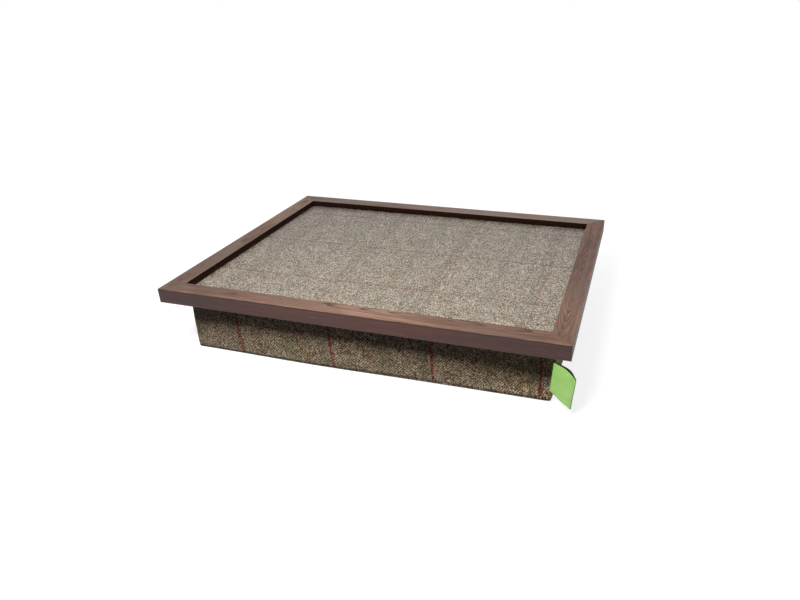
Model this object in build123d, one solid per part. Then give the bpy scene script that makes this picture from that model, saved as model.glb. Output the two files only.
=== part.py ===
from build123d import *

import os
from math import floor

# Lap tray with a bean cushion. Millimetres, +X along the long side, +Y to the back, +Z up.
# The origin is on the table, under the middle of the tray.

# Tray frame: a mitred wooden moulding with a rebate under its lip
frame_length = 440.0
frame_depth = 340.0
rail_width = 21.0
rail_height = 16.4
lip_height = 6.5
rebate_width = 6.0
rail_edge_radius = 0.7

# Flat pieces held in the rebate, from the top down
sheet_thickness = 2.0
panel_thickness = 0.9
board_thickness = 3.0
insert_clearance = 0.5

# Steel V nails pressed into the underside of each mitre
nail_arm = 5.0
nail_thickness = 0.5
nail_height = 7.0
nail_arm_angle = 40.0
nail_place_shares = (0.2, 0.45)
pocket_clearance = 0.05

# Steel framing points that hold the backing board in the rebate
point_length = 14.0
point_width = 6.0
point_thickness = 0.6
point_grip = 6.0
point_pitch = 102.0

# Hook and loop strips between the tray and the cushion
strip_width = 20.0
hook_thickness = 1.4
loop_thickness = 1.4
mating_gap = 0.1
strip_end_margin = 15.0
strip_side_margin = 16.0

# Cushion cover: height is from the table to the underside of the frame
cushion_height = 68.6
side_inset = 18.0
front_inset = 29.0
cover_thickness = 1.2
foot_height = 4.0
foot_tuck = 5.0
crown_rise = 3.7
crown_width = 35.0
corner_bulge = 1.5
wall_bow = 3.0
seam_bow = 1.0
foot_mid_height_share = 0.35
foot_mid_tuck_share = 0.3
crown_mid_rise_share = 0.7
crown_mid_width_share = 0.4

# Liner bag, which is filled with beads
liner_thickness = 0.6
liner_clearance = 0.3

# Zip in the back wall, with its two rows of teeth facing each other across a slit
zip_end_margin = 52.0
zip_level_share = 0.5
tape_height = 13.0
tape_thickness = 0.6
tape_end = 12.0
tape_drop_share = 0.4
tooth_pitch = 2.6
tooth_width = 1.5
tooth_length = 1.6
tooth_thickness = 2.2
spine_width = 1.0
stop_length = 2.5

# Zip slider with its bail, and the pull that swings under the bail
slider_length = 14.0
slider_corner = 1.6
slider_plate = 1.0
flange_width = 1.0
post_thickness = 0.6
post_length = 3.0
slide_clearance = 0.25
fold_clearance = 0.8
bail_width = 2.0
bail_thickness = 0.9
bail_window_length = 4.4
bail_window_height = 2.0
pull_length = 26.0
pull_width = 6.4
pull_tip_width = 4.6
pull_tip_round_share = 0.33
pull_thickness = 1.2
pull_clearance = 0.3

# Label: a ribbon folded into a loop and sewn into the front right corner seam
label_length = 28.0
label_height = 32.5
label_ribbon = 0.6
label_gap = 2.4
label_sweep = 4.0
label_root = 2.0
label_turn_angle = 41.0
label_droop_angle = 6.0
label_level_share = 0.426
label_inner_start_share = 0.15
label_inner_end_share = 0.9

overrun = 10.0

# Heights worked out from the sizes above
frame_bottom = cushion_height
frame_top = frame_bottom + rail_height
sheet_top = frame_top - lip_height
panel_top = sheet_top - sheet_thickness
board_top = panel_top - panel_thickness
board_bottom = board_top - board_thickness
hook_bottom = board_bottom - hook_thickness
loop_top = hook_bottom - mating_gap
crown_top = loop_top - loop_thickness
top_seam = crown_top - crown_rise
bottom_seam = foot_height

# Plan sizes worked out from the sizes above
rebate_length = frame_length - 2 * (rail_width - rebate_width)
rebate_depth = frame_depth - 2 * (rail_width - rebate_width)
insert_length = rebate_length - 2 * insert_clearance
insert_depth = rebate_depth - 2 * insert_clearance
half_length = frame_length / 2 - side_inset
half_depth = frame_depth / 2 - front_inset
strip_length = 2 * (half_length - crown_width - strip_end_margin)
strip_y = half_depth - crown_width - strip_side_margin - strip_width / 2

# Places in the back wall, for the zip
zip_length = 2 * (half_length - zip_end_margin)
zip_z = bottom_seam + zip_level_share * (top_seam - bottom_seam)
back_wall_y = half_depth + corner_bulge
tape_drop = tape_drop_share * corner_bulge
zip_y = back_wall_y - cover_thickness - tape_drop - tape_thickness / 2
slit_half = post_thickness / 2 + slide_clearance
row_half = slit_half + tooth_length + spine_width
slider_half_width = row_half + slide_clearance + flange_width
throat_half = tooth_thickness / 2 + slide_clearance
slider_half_depth = throat_half + slider_plate
slot_half = slider_half_width + fold_clearance
slider_rest_x = zip_length / 2 - slide_clearance - slider_length / 2
liner_inset = cover_thickness + liner_clearance
liner_back_inset = back_wall_y - (zip_y - slider_half_depth - liner_clearance)


def placed_on_sides(length, depth):
    """Places that turn a piece made along the front edge to each side of a rectangle."""
    return {
        "front": Pos(0, -depth / 2) * Rot(0, 0, 0),
        "right": Pos(length / 2, 0) * Rot(0, 0, 90),
        "back": Pos(0, depth / 2) * Rot(0, 0, 180),
        "left": Pos(-length / 2, 0) * Rot(0, 0, 270),
    }


def slab(length, depth, bottom, top):
    """A flat rectangular piece centred on the origin, between two heights."""
    return Pos(0, 0, (bottom + top) / 2) * Box(length, depth, top - bottom)


def mitred_stretch(length, inner, outer, bottom, top):
    """A prism along a front edge, cut at 45 degrees at both ends, from outer to inner."""
    outline = Polyline(
        (-length / 2 - outer, -outer),
        (length / 2 + outer, -outer),
        (length / 2 - inner, inner),
        (-length / 2 + inner, inner),
        close=True,
    )
    return Pos(0, 0, bottom) * extrude(make_face(outline), top - bottom)


def corner_nail(clearance):
    """A V nail seen from below, its point towards the middle of the tray."""
    arm = nail_arm + clearance
    thickness = nail_thickness + 2 * clearance
    arms = Sketch()
    for side in (-1, 1):
        turn = Rot(0, 0, side * nail_arm_angle)
        arms += turn * Pos(arm / 2, 0) * Rectangle(arm, thickness)
    return Pos(0, 0, frame_bottom) * extrude(arms, nail_height + clearance)


def corner_nail_places():
    """The place of each V nail on the mitres, pointing outwards along the mitre."""
    places = []
    flat = rail_width - rebate_width
    for x_side, y_side, turn in ((1, 1, 45), (-1, 1, 135), (-1, -1, 225), (1, -1, 315)):
        for share in nail_place_shares:
            x = frame_length / 2 - (1 - share) * flat
            y = frame_depth / 2 - (1 - share) * flat
            places.append(Pos(x_side * x, y_side * y) * Rot(0, 0, turn))
    return places


def framing_point(clearance):
    """A point pressed into the rebate's wall, lying under the backing board."""
    grip = point_grip + clearance
    length = point_length - point_grip + grip
    wall = rail_width - rebate_width
    bottom = board_bottom - point_thickness - clearance
    tab = slab(point_width + 2 * clearance, length, bottom, board_bottom + clearance)
    return Pos(0, wall - grip + length / 2) * tab


def framing_point_places(side):
    """The places of the framing points along one rail."""
    length = rebate_length if side in ("front", "back") else rebate_depth
    count = max(1, round(length / point_pitch))
    pitch = length / count
    side_place = placed_on_sides(frame_length, frame_depth)[side]
    return [side_place * Pos((i - (count - 1) / 2) * pitch, 0) for i in range(count)]


def frame_rail(side):
    """One length of moulding, mitred at both ends, with pockets for its nails and points."""
    length = frame_length if side in ("front", "back") else frame_depth
    section = Polyline(
        (0, frame_bottom),
        (rail_width - rebate_width, frame_bottom),
        (rail_width - rebate_width, sheet_top),
        (rail_width, sheet_top),
        (rail_width, frame_top),
        (0, frame_top),
        close=True,
    )
    face = make_face(section)
    corners = face.vertices()
    rounded = [v for v in corners if v.Y == frame_top or v.X == 0]
    face = Plane.YZ * fillet(rounded, rail_edge_radius)
    rail = extrude(face, length / 2, both=True)
    rail &= mitred_stretch(length, rail_width, 0, frame_bottom, frame_top)
    rail = placed_on_sides(frame_length, frame_depth)[side] * rail
    rail -= [place * corner_nail(pocket_clearance) for place in corner_nail_places()]
    rail -= [place * framing_point(pocket_clearance) for place in framing_point_places(side)]
    return rail


def cushion_outline(inset, back_inset, bow, height):
    """The cushion's outline at one height: bowed front and sides, and a straight back."""
    x = half_length - inset
    front = -half_depth + inset
    back = half_depth - back_inset
    sides = [
        ThreePointArc((-x, front), (0, front - bow), (x, front)),
        ThreePointArc((x, front), (x + bow, (front + back) / 2), (x, back)),
        Line((x, back), (-x, back)),
        ThreePointArc((-x, back), (-x - bow, (front + back) / 2), (-x, front)),
    ]
    return Pos(0, 0, height) * make_face(sides)


def cushion_foot(inset, back_inset):
    """The tucked lower edge, from the flat base up to the bottom seam."""
    levels = ((0, 1), (foot_mid_height_share, foot_mid_tuck_share), (1, 0))
    return loft(
        [
            cushion_outline(
                inset + tuck_share * foot_tuck,
                back_inset + tuck_share * foot_tuck,
                seam_bow,
                inset + height_share * foot_height,
            )
            for height_share, tuck_share in levels
        ]
    )


def cushion_wall(inset, back_inset, low, high):
    """The four walls as one solid form, fullest at half its height."""
    middle = cushion_outline(
        inset - corner_bulge, back_inset - corner_bulge, wall_bow, (low + high) / 2
    )
    lower = cushion_outline(inset, back_inset, seam_bow, low)
    upper = cushion_outline(inset, back_inset, seam_bow, high)
    return loft([lower, middle, upper])


def cushion_crown(inset, back_inset):
    """The crowned top, from the top seam up to a flat middle."""
    levels = ((0, 0), (crown_mid_rise_share, crown_mid_width_share), (1, 1))
    return loft(
        [
            cushion_outline(
                inset + width_share * crown_width,
                back_inset + width_share * crown_width,
                seam_bow,
                top_seam - inset + rise_share * crown_rise,
            )
            for rise_share, width_share in levels
        ]
    )


def filled_form(inset, back_inset):
    """Foot, walls and crown joined into one closed form."""
    wall = cushion_wall(inset, back_inset, bottom_seam + inset, top_seam - inset)
    return cushion_foot(inset, back_inset) + wall + cushion_crown(inset, back_inset)


def cover_walls():
    """The four boxed wall panels, which meet at the corner seams."""
    shell = cushion_wall(0, 0, bottom_seam, top_seam)
    shell -= cushion_wall(cover_thickness, cover_thickness, bottom_seam, top_seam)
    walls = {}
    for side, place in placed_on_sides(2 * half_length, 2 * half_depth).items():
        length = half_length if side in ("front", "back") else half_depth
        stretch = mitred_stretch(2 * length, overrun, overrun, bottom_seam, top_seam)
        walls[side] = shell & (place * stretch)
    return walls


def back_wall_panels(wall):
    """The back wall as two panels that meet at the zip's line and fold back beside it."""
    reach = zip_length + 2 * (tape_end - stop_length)
    slot = Pos(0, zip_y, zip_z) * Box(reach, 2 * overrun, 2 * slot_half)
    upper = wall & slab(frame_length, frame_depth, zip_z, top_seam)
    lower = wall & slab(frame_length, frame_depth, bottom_seam, zip_z)
    return upper - slot, lower - slot


def tooth_row(side):
    """One row of moulded teeth on its spine: a comb with its teeth towards the slit."""
    count = floor(zip_length / tooth_pitch)
    shift = 0 if side > 0 else tooth_pitch - tooth_width
    root = slit_half + tooth_length
    points = [(zip_length / 2, row_half), (-zip_length / 2, row_half), (-zip_length / 2, root)]
    for i in range(count):
        start = -zip_length / 2 + i * tooth_pitch + shift
        points += [(start, root), (start, slit_half)]
        points += [(start + tooth_width, slit_half), (start + tooth_width, root)]
    points.append((zip_length / 2, root))
    outline = [point for i, point in enumerate(points) if i == 0 or point != points[i - 1]]
    comb = extrude(make_face(Polyline(*outline, close=True)), tooth_thickness / 2, both=True)
    if side < 0:
        comb = mirror(comb, Plane.XZ)
    return Pos(0, zip_y, zip_z) * Rot(90, 0, 0) * comb


def zip_tape(side):
    """The woven tape beside one row of teeth."""
    length = zip_length + 2 * tape_end
    tape = Box(length, tape_thickness, tape_height)
    return Pos(0, zip_y, zip_z + side * (row_half + tape_height / 2)) * tape


def zip_stops():
    """Two stops above the last teeth at the closed end, and one across the open end."""
    end = (zip_length + stop_length) / 2
    height = row_half - slit_half
    top_stop = Box(stop_length, tooth_thickness, height)
    stops = [Pos(end, zip_y, zip_z + s * (slit_half + height / 2)) * top_stop for s in (-1, 1)]
    stops.append(Pos(-end, zip_y, zip_z) * Box(stop_length, tooth_thickness, 2 * row_half))
    return Compound(children=stops)


def zip_slider():
    """Two plates joined by a post, flanges round the teeth, and the bail on the outside."""
    outline = RectangleRounded(slider_length, 2 * slider_half_width, slider_corner)
    body = extrude(outline, slider_half_depth, both=True)
    throat = Box(slider_length + overrun, 2 * (row_half + slide_clearance), 2 * throat_half)
    tape_slot = 2 * (tape_thickness / 2 + slide_clearance)
    body -= throat
    body -= Box(slider_length + overrun, 2 * slider_half_width + overrun, tape_slot)
    post_x = slider_length / 2 - post_length / 2
    body += Pos(post_x, 0, 0) * Box(post_length, post_thickness, 2 * slider_half_depth)
    bail_height = bail_window_height + bail_thickness
    bail_length = bail_window_length + 2 * bail_thickness
    arch = Box(bail_length, bail_width, bail_height)
    arch -= Pos(0, 0, -bail_thickness) * Box(bail_window_length, bail_width, bail_height)
    body += Pos(0, 0, slider_half_depth + bail_height / 2) * arch
    return Pos(slider_rest_x, zip_y, zip_z) * Rot(-90, 0, 0) * body


def zip_pull():
    """A flat tab with a window at one end, whose round end bar turns under the bail."""
    window_length = bail_window_length / 2 + bail_thickness + pull_clearance
    window_width = bail_width + 2 * pull_clearance
    bar = pull_thickness / 2
    outline = Polyline(
        (0, pull_width / 2),
        (-window_length - bar, pull_width / 2),
        (-pull_length, pull_tip_width / 2),
        (-pull_length, -pull_tip_width / 2),
        (-window_length - bar, -pull_width / 2),
        (0, -pull_width / 2),
        close=True,
    )
    tab = make_face(outline)
    tip = [v for v in tab.vertices() if v.X == -pull_length]
    tab = fillet(tip, pull_tip_round_share * pull_tip_width)
    window = Rectangle(window_length + bar, window_width)
    tab -= Pos(-(window_length + bar) / 2, 0) * window
    pull = extrude(tab, bar, both=True) + Rot(90, 0, 0) * Cylinder(bar, pull_width)
    lift = slider_half_depth + bail_window_height / 2
    return Pos(slider_rest_x, zip_y + lift, zip_z) * Rot(-90, 0, 0) * pull


def lens(start, end, front_sweep, back_sweep):
    """The face between two shallow arcs that share their ends."""
    middle = (start[0] + end[0]) / 2
    level = (start[1] + end[1]) / 2
    back = ThreePointArc(start, (middle, level + back_sweep), end)
    front = ThreePointArc(end, (middle, level + front_sweep), start)
    return make_face([back, front])


def side_label():
    """The label's loop, which curls forwards and droops a little from its corner seam."""
    half_loop = label_gap / 2 + label_ribbon
    outer = lens((0, 0), (label_length, 0), label_sweep - half_loop, label_sweep + half_loop)
    ends = []
    for share in (label_inner_start_share, label_inner_end_share):
        ends.append((share * label_length, 4 * label_sweep * share * (1 - share)))
    level = (ends[0][1] + ends[1][1]) / 2
    inner_front = label_sweep - label_gap / 2 - level
    inner_back = label_sweep + label_gap / 2 - level
    hollow = lens(ends[0], ends[1], inner_front, inner_back)
    loop = extrude(outer - hollow, label_height / 2, both=True)
    corner_x = half_length + corner_bulge - label_root
    corner_y = -half_depth - corner_bulge + label_root
    level_z = bottom_seam + label_level_share * (top_seam - bottom_seam)
    place = Pos(corner_x, corner_y, level_z) * Rot(0, 0, -label_turn_angle)
    label = place * Rot(0, label_droop_angle, 0) * loop
    return label - cushion_wall(0, 0, bottom_seam, top_seam)


def strips(bottom, top):
    """Two strips along the tray, near its front and its back."""
    strip = slab(strip_length, strip_width, bottom, top)
    return Compound(children=[Pos(0, side * strip_y) * strip for side in (-1, 1)])


def tray_pieces():
    """Every piece of the tray, by name."""
    sides = ("front", "back", "left", "right")
    pieces = {f"frame_rail_{side}": frame_rail(side) for side in sides}
    nails = [place * corner_nail(0) for place in corner_nail_places()]
    points = [place * framing_point(0) for side in sides for place in framing_point_places(side)]
    pieces["corner_v_nails"] = Compound(children=nails)
    pieces["framing_points"] = Compound(children=points)
    pieces["clear_cover_sheet"] = slab(insert_length, insert_depth, panel_top, sheet_top)
    pieces["tweed_panel"] = slab(insert_length, insert_depth, board_top, panel_top)
    pieces["backing_board"] = slab(insert_length, insert_depth, board_bottom, board_top)
    pieces["hook_strips"] = strips(hook_bottom, board_bottom)
    return pieces


def cushion_pieces():
    """Every piece of the cushion, by name."""
    walls = cover_walls()
    back_upper, back_lower = back_wall_panels(walls["back"])
    filling_inset = liner_inset + liner_thickness
    filling = filled_form(filling_inset, liner_back_inset + liner_thickness)
    top = cushion_crown(0, 0) - cushion_crown(cover_thickness, cover_thickness)
    base = cushion_foot(0, 0) - cushion_foot(cover_thickness, cover_thickness)
    return {
        "loop_strips": strips(crown_top, loop_top),
        "cover_top_panel": top,
        "cover_base_panel": base,
        "cover_front_wall": walls["front"],
        "cover_left_wall": walls["left"],
        "cover_right_wall": walls["right"],
        "cover_back_wall_upper": back_upper,
        "cover_back_wall_lower": back_lower,
        "liner_bag": filled_form(liner_inset, liner_back_inset) - filling,
        "bead_filling": filling,
        "side_label": side_label(),
    }


def zip_pieces():
    """Every piece of the zip, by name."""
    return {
        "zip_tape_upper": zip_tape(1),
        "zip_tape_lower": zip_tape(-1),
        "zip_teeth_upper": tooth_row(1),
        "zip_teeth_lower": tooth_row(-1),
        "zip_stops": zip_stops(),
        "zip_slider": zip_slider(),
        "zip_pull": zip_pull(),
    }


os.makedirs("parts", exist_ok=True)
for name, shape in {**tray_pieces(), **cushion_pieces(), **zip_pieces()}.items():
    export_step(shape, f"parts/{name}.step")
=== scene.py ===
import math

import bpy
import numpy as np
from mathutils import Euler, Matrix, Vector


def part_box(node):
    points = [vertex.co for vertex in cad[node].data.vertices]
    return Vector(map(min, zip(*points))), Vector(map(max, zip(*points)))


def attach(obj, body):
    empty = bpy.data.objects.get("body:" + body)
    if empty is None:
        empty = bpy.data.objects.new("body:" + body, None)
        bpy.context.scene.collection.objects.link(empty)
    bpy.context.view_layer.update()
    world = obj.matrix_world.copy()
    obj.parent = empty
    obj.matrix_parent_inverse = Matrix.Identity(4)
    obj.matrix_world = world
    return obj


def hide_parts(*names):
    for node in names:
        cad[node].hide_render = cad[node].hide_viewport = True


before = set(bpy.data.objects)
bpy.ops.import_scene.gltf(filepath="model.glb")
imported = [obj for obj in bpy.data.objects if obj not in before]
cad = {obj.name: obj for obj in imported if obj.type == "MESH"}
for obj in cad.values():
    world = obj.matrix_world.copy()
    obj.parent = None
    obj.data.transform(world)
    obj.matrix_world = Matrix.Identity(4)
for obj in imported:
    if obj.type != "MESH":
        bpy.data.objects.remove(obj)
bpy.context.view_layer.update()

# Lap tray with a bean cushion, dressed round its CAD frame. Metres, in the frame's own axes.
# Every random draw comes from this generator or from fixed phases, so each run is the same.
draws = np.random.default_rng(7)

# Camera, fitted to the corners of the wooden frame in the photograph
camera_place = (0.25941, -0.67140, 0.37722)
camera_turn = (63.4208, 1.2278, 17.9496)
camera_lens = 29.0448
camera_sensor = 36.0
camera_shift = (-0.040808, 0.000406)

# Studio: soft lamps, each with its place, what it faces, its size and its power
lamps = {
    "key": ((-0.01, -0.55, 0.668), (0.0, -0.12, 0.05), (0.27, 0.225), 7.4),
    "overhead": ((0.05, -0.05, 0.60), (0.05, -0.05, 0.05), (0.35, 0.35), 0.62),
    "rim": ((0.90, 0.40, 0.42), (0.05, 0.0, 0.04), (0.7, 0.5), 3.4),
}
# Two more lamps, low down, which stand at these angles about the object from its right side
side_angles = {"back": 98.0, "left": 172.0}
side_place = (0.95, 0.0, 0.17)
side_target = (0.0, 0.0, 0.04)
side_size = (0.6, 0.3)
side_power = 3.2

# Sky, the backdrop that the camera and mirrors see, and the floor
white = (1.0, 1.0, 1.0, 1.0)
sky_level = 0.044
sky_colour = (0.82, 0.76, 1.55, 1.0)
backdrop_rise = (0.28, 0.54)
backdrop_levels = (0.30, 1.10)
floor_size = 12.0
floor_drop = 0.0003
floor_glow = 0.80
floor_albedo = 0.34
floor_bounce_albedo = 0.08
floor_lit_reach = (0.30, 0.75)

# Cushion: the plan of its seams, and how its walls, crown and foot swell from them
half_length = 0.202
half_depth = 0.141
seam_bow = 0.001
wall_bow = 0.0018
wall_bulge = 0.0005
crown_width = 0.035
crown_power = 2.36
foot_width = 0.005
foot_power = 2.94
cover_thickness = 0.0012
strip_zone = (0.156, 0.094)
back_bulge = 0.0015
back_bulge_steepness = 6.0

# Cushion: how it has settled, fuller at the left and the left half of the front
left_spread = 0.0019
low_spread_share = 0.7
front_spread = 0.0018
front_spread_middle = -0.060
front_spread_reach = 0.120
right_recess = 0.0092
right_recess_start = 0.050
right_recess_power = 1.5
recess_low_power = 0.8
recess_peak_gain = 3.45
seam_drop = 0.0022
seam_drop_level = 0.004
corner_drop = 0.0020

# Cloth simulation of the cushion
cloth_step = 0.006
cloth_frames = 20
cloth_pressure = 4.0
cloth_cap = 0.0022
cloth_ruffle = 0.0006
cloth_settings = {
    "quality": 5,
    "mass": 0.3,
    "tension_stiffness": 12,
    "compression_stiffness": 12,
    "shear_stiffness": 6,
    "bending_stiffness": 2,
    "use_pressure": True,
    "uniform_pressure_force": cloth_pressure,
}

# Fine mesh of the cover, its seams and its puckers
cover_step = 0.004
seam_offsets = (0.0005, 0.0011, 0.0018, 0.0028)
seam_depth = 0.0015
soft_seam_depth = 0.0006
soft_seam_shade_share = 0.35
soft_seam_sides = {"base", "left"}
seam_width = 0.0012
seam_lean = 0.003
seam_shade_width = 0.0015
seam_shade_share = 0.6
sheet_crease_angle = 50
pucker_height = 0.00035
pucker_reach = 0.009
pucker_lengths = (0.0073, 0.0117, 0.0191)

# Zip: the slot in the back wall, how its edges fold in, and the stitches round it
zip_height = 0.035
slot_half_length = 0.1595
slot_half_height = 0.0052
fold_depth = 0.0005
fold_width = 0.0009
fold_shade_width = 0.0010
slot_end_steepness = 10
stitch_inset = 0.0032
stitch_depth = 0.00025
stitch_width = 0.0008
stitch_pitch = 0.003
stitch_share = 0.72
# Each stitch dips at its ends: shares of its half length and of its thread's radius
stitch_line = ((-1, -1.0), (-0.6, 0.3), (0, 0.6), (0.6, 0.3), (1, -1.0))
thread_radius = 0.00022
thread_sides = 6
tape_step = 0.002
tape_rows = 7
tape_sway = 0.00008
tape_meet_run = 0.003
tape_meet_share = 0.96

# Lining, its beads, the tray's own tweed and the fastener strips
liner_inset = 0.0060
liner_thickness = 0.0006
liner_wrinkle = 0.0006
liner_step = 0.006
panel_step = 0.006
panel_clearance = 0.00012
strip_breadth = 0.020
strip_step = 0.0013
strip_base = 0.0006
hook_pitch = 0.0026
hook_radius = 0.0002
hook_lean = 0.0004
hook_sides = 4
tube_crease_angle = 60

# Ribbon label in the front right corner seam
label_corner = (0.2015, -0.1405, 0.0297)
label_turn_angle = 41.0
label_droop_angle = 6.0
label_length = 0.0292
label_height = 0.0346
label_ribbon = 0.0005
label_gap = 0.0026
label_seam_gap_share = 0.25
label_fold_radius = 0.0006
label_sweep = 0.004
label_low_sweep_share = 0.15
label_hidden = 0.0015
label_wave = 0.0003
label_wave_lengths = (0.017, 0.031)
label_wave_slant = 0.4
label_points = 24
label_rows = 15
label_fold_points = 5

# Wood: its growth rings, greyer patches with a painted sheen, the dark line under its outer top edge
# and its mitres
figure_depth_ratio = 1.6
ring_sharpness = 5
grey_patch = (92, 73, 62)
sheen_grey_patch = (114, 105, 96)
edge_line_reach = 0.0015
edge_line_depth = 0.0012
edge_line_width = 0.0010
hairline_width = 0.0002
rails = {
    "front": {
        "figures": [(0.075, 0.016, 0.105, 0.0085, 3), (-0.190, 0.012, 0.060, 0.007, 2)],
        "pale_and_lit": (0.020, 0.110, 0.24),
        "grey_and_sheen_share": 0.1,
    },
    "back": {
        "figures": [(-0.040, 0.010, 0.160, 0.008, 3)],
        "pale_and_lit": (0.050, 0.200, 0.22),
        "grey_and_sheen_share": 1.0,
    },
    "left": {
        "figures": [(-0.115, 0.009, 0.050, 0.008, 3), (0.060, 0.012, 0.090, 0.007, 2)],
        "pale_and_lit": (0.100, 0.080, 0.30),
        "grey_and_sheen_share": 0.45,
    },
    "right": {
        "figures": [(-0.035, 0.0115, 0.112, 0.0088, 6)],
        "pale_and_lit": (-0.100, 0.060, 0.10),
        "grey_and_sheen_share": 0.05,
    },
}

# Clear sheet, whose two faces mirror more than one alone
two_face_gain = 1.25
sheet_roughness = 0.20
sheet_ior = 1.49

# Fine pitches of the board's screen texture and the ribbon's ribs
screen_pitch = 0.0016
ribbon_rib = 0.0006

# Tweed: yarns in a two and two twill, with a windowpane check counted in yarns
yarn_pitch = 0.00078
twill_repeat = 4
check_warps = 142
check_picks = 130
line_yarns = 4
band_start = 129
band_end = 138
middle_band_start = 71
middle_band_end = 87
weave_map = "weave"
seam_map = "seam_shade"
wall_check_place = -0.035
wall_check_pitch = 0.1124
top_check_place = -0.049
top_check_pitch = 0.1095
top_line_place = 0.018
wall_grain_lean = 0.045
right_gather = 0.0035
right_gather_start = 0.080
right_gather_power = 1.5

# How the edges of the zip's slider and pull are softened
weld_distance = 0.00001
soft_edge = 0.0002

# From the CAD frame
rail_low, rail_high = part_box("frame_rail_front")
outer_half_length = rail_high.x
outer_half_depth = -rail_low.y
rail_top = rail_high.z
wall_low, wall_high = [corner.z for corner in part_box("cover_front_wall")]
crown_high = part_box("loop_strips")[0].z
wall_middle = (wall_low + wall_high) / 2
wall_half = (wall_high - wall_low) / 2


def srgb(red, green, blue):
    """A colour given as it looks on screen, from 0 to 255, as the linear values nodes take."""
    shares = [c / 255 for c in (red, green, blue)]
    return [s / 12.92 if s <= 0.04045 else ((s + 0.055) / 1.055) ** 2.4 for s in shares] + [1.0]


def math_node(operation):
    """The method of a Value for one operator, which adds the Math node of that name."""
    return lambda value, *others: value.shader.calc(operation, value, *others)


class Value:
    """What a node gives out. Arithmetic on it adds the Math nodes that do the same."""

    __add__ = math_node("ADD")
    __sub__ = math_node("SUBTRACT")
    __mul__ = math_node("MULTIPLY")
    __truediv__ = math_node("DIVIDE")
    __mod__ = math_node("FLOORED_MODULO")
    __pow__ = math_node("POWER")
    __lt__ = math_node("LESS_THAN")
    __gt__ = math_node("GREATER_THAN")
    __abs__ = math_node("ABSOLUTE")

    def __init__(self, shader, node, output=0):
        self.shader = shader
        self.node = node
        self.output = output

    def __rsub__(self, other):
        return self.shader.calc("SUBTRACT", other, self)


class Shader:
    """The node tree of a material or a world, with short calls for the nodes used here."""

    def __init__(self, name, family="materials"):
        self.owner = getattr(bpy.data, family).new(name)
        self.owner.use_nodes = True
        self.tree = self.owner.node_tree
        self.tree.nodes.clear()

    def node(self, kind, inputs=None, output=0, **settings):
        """Adds a node with its settings and inputs, by name or number, and gives one output."""
        made = self.tree.nodes.new("ShaderNode" + kind)
        for setting, value in settings.items():
            setattr(made, setting, value)
        for socket, value in (inputs or {}).items():
            if isinstance(value, Value):
                self.tree.links.new(value.node.outputs[value.output], made.inputs[socket])
            else:
                made.inputs[socket].default_value = value
        return Value(self, made, output)

    def calc(self, operation, *values):
        """One step of arithmetic."""
        return self.node("Math", dict(enumerate(values)), operation=operation)

    def vector(self, x=0.0, y=0.0, z=0.0):
        return self.node("CombineXYZ", {0: x, 1: y, 2: z})

    def split(self, vector):
        made = self.node("SeparateXYZ", {0: vector}).node
        return [Value(self, made, axis) for axis in range(3)]

    def place(self, kind="Object"):
        """A texture coordinate. Object is the point on the piece, wherever the piece moves."""
        return self.node("TexCoord", output=kind)

    def weave(self):
        """The point in the piece's cloth, in metres, by its weave map."""
        return self.node("UVMap", uv_map=weave_map)

    def noise(self, place, scale=1.0, detail=2.0, roughness=0.5):
        sockets = {"Vector": place, "Scale": scale, "Detail": detail, "Roughness": roughness}
        return self.node("TexNoise", sockets)

    def random(self, x, y, z):
        """A fixed random number from 0 to 1 for each whole-numbered place."""
        return self.node("TexWhiteNoise", {"Vector": self.vector(x, y, z)}, output="Value")

    def between(self, value, low, high):
        """1 where the value is from low up to high, and 0 elsewhere."""
        return (value > low) * (value < high)

    def rise(self, value, low, high, start=0.0, end=1.0):
        """A smooth rise from start at low to end at high."""
        sockets = {0: value, 1: low, 2: high, 3: start, 4: end}
        return self.node("MapRange", sockets, interpolation_type="SMOOTHSTEP")

    def ramp(self, share, *stops):
        """A colour ramp with stops given as (share, colour)."""
        made = self.node("ValToRGB", {0: share})
        elements = made.node.color_ramp.elements
        while len(elements) < len(stops):
            elements.new(0.5)
        for element, (position, colour) in zip(elements, stops):
            element.position = position
            element.color = colour
        return made

    def mix(self, share, a, b, blend="MIX"):
        """One colour over another, by a share."""
        inputs = {0: share, 6: a, 7: b}
        return self.node("Mix", inputs, output=2, data_type="RGBA", blend_type=blend)

    def choose(self, share, a, b):
        """The number a where share is 0, and b where it is 1."""
        return self.node("Mix", {0: share, 2: a, 3: b}, data_type="FLOAT")

    def blend(self, share, a, b):
        """The surface a where share is 0, and b where it is 1."""
        return self.node("MixShader", {0: share, 1: a, 2: b})

    def seen_directly(self):
        """1 for rays that come straight from the camera, or by a mirror or through glass."""
        kinds = ("Camera", "Glossy", "Transmission")
        camera, mirror, glass = [self.node("LightPath", output=f"Is {kind} Ray") for kind in kinds]
        return self.calc("MAXIMUM", self.calc("MAXIMUM", camera, mirror), glass)

    def bump(self, height, distance, strength):
        return self.node("Bump", {"Height": height, "Distance": distance, "Strength": strength})

    def principled(self, **sockets):
        """A principled surface as the material's output. Names use _ for the sockets' spaces."""
        named = {name.replace("_", " "): value for name, value in sockets.items()}
        return self.finish(self.node("BsdfPrincipled", named))

    def finish(self, surface, kind="OutputMaterial"):
        """Makes a surface the tree's output, and gives the material or world that it is on."""
        self.node(kind, {0: surface})
        return self.owner


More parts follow.
